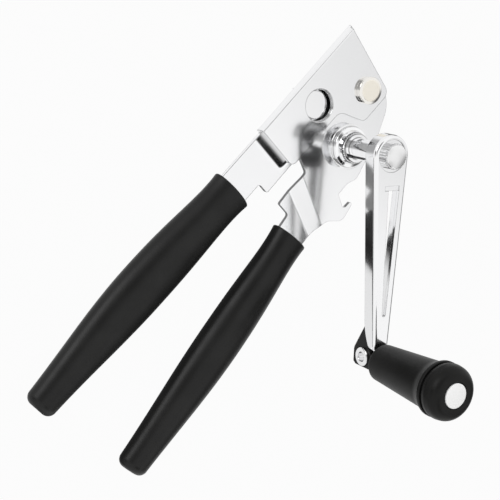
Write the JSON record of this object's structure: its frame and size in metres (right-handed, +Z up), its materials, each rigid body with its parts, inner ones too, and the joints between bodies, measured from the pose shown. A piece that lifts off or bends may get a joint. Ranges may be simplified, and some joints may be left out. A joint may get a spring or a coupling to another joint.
{
  "type": "manual can opener",
  "caption": "Hand-held can opener with two gripped levers, a long slotted crank with a folding barrel knob, a geared cutting wheel and a bottle-cap hook.",
  "frame": {"origin": "centre of the cutter stud's flat end, on the plane the opener lies on", "axes": "+X along the spine towards the head's tip, +Y across the levers towards the spine, +Z up from the back of the levers towards the crank knob"},
  "size_m": [0.2448, 0.1357, 0.1093],
  "materials": {
    "chrome_sheet": "polished",
    "chrome_turned": "polished",
    "rivet_nickel": "satin nickel",
    "zinc_steel": "zinc plated",
    "hard_steel": "ground",
    "grip_black": "satin",
    "knob_black": "satin",
    "bracket_black": "satin",
    "button_white": "satin"
  },
  "bodies": {
    "upper_handle": {"upper_lever": "chrome_sheet", "upper_grip": "grip_black", "pivot_rivet": "rivet_nickel", "cutter_stud": "chrome_turned", "cutter_washer": "zinc_steel", "cutter_nut": "zinc_steel"},
    "lower_handle": {"lower_lever": "chrome_sheet", "lower_grip": "grip_black", "shaft_bushing": "chrome_turned", "bushing_collar": "chrome_turned"},
    "crank": {"drive_shaft": "chrome_turned", "thrust_washer": "chrome_turned", "drive_gear": "hard_steel", "feed_wheel": "hard_steel", "feed_nut": "zinc_steel", "hub_washer": "zinc_steel", "crank_arm": "chrome_sheet", "knob_bracket": "bracket_black", "bracket_screw": "zinc_steel", "fold_pin": "chrome_turned"},
    "cutter": {"cutter_gear": "hard_steel", "cutter_wheel": "hard_steel"},
    "stem": {"knob_stem": "zinc_steel", "knob_washer": "zinc_steel", "knob_button": "button_white"},
    "knob": {"knob_body": "knob_black", "knob_cap": "knob_black"}
  },
  "joints": [
    {"name": "handle_pivot", "type": "hinge", "parent": "upper_handle", "child": "lower_handle", "pos_m": [0.02623, -0.0157, 0.01072], "axis": [0, 0, 1], "range_deg": [-6.71, 25]},
    {"name": "crank_spin", "type": "hinge", "parent": "lower_handle", "child": "crank", "pos_m": [-0.0017, -0.02813, 0.01384], "axis": [0, 0, 1], "continuous": true},
    {"name": "cutter_spin", "type": "hinge", "parent": "upper_handle", "child": "cutter", "pos_m": [0, 0, 0.00384], "axis": [0, 0, 1], "continuous": true},
    {"name": "knob_fold", "type": "hinge", "parent": "crank", "child": "stem", "pos_m": [-0.07425, -0.10222, 0.04274], "axis": [0.7145, -0.6997, 0], "range_deg": [0, 90]},
    {"name": "knob_spin", "type": "hinge", "parent": "stem", "child": "knob", "pos_m": [-0.07488, -0.10287, 0.07384], "axis": [0, 0, 1], "continuous": true}
  ],
  "couplings": [
    {"joint": "cutter_spin", "follows": "crank_spin", "ratio": -1.1818}
  ]
}
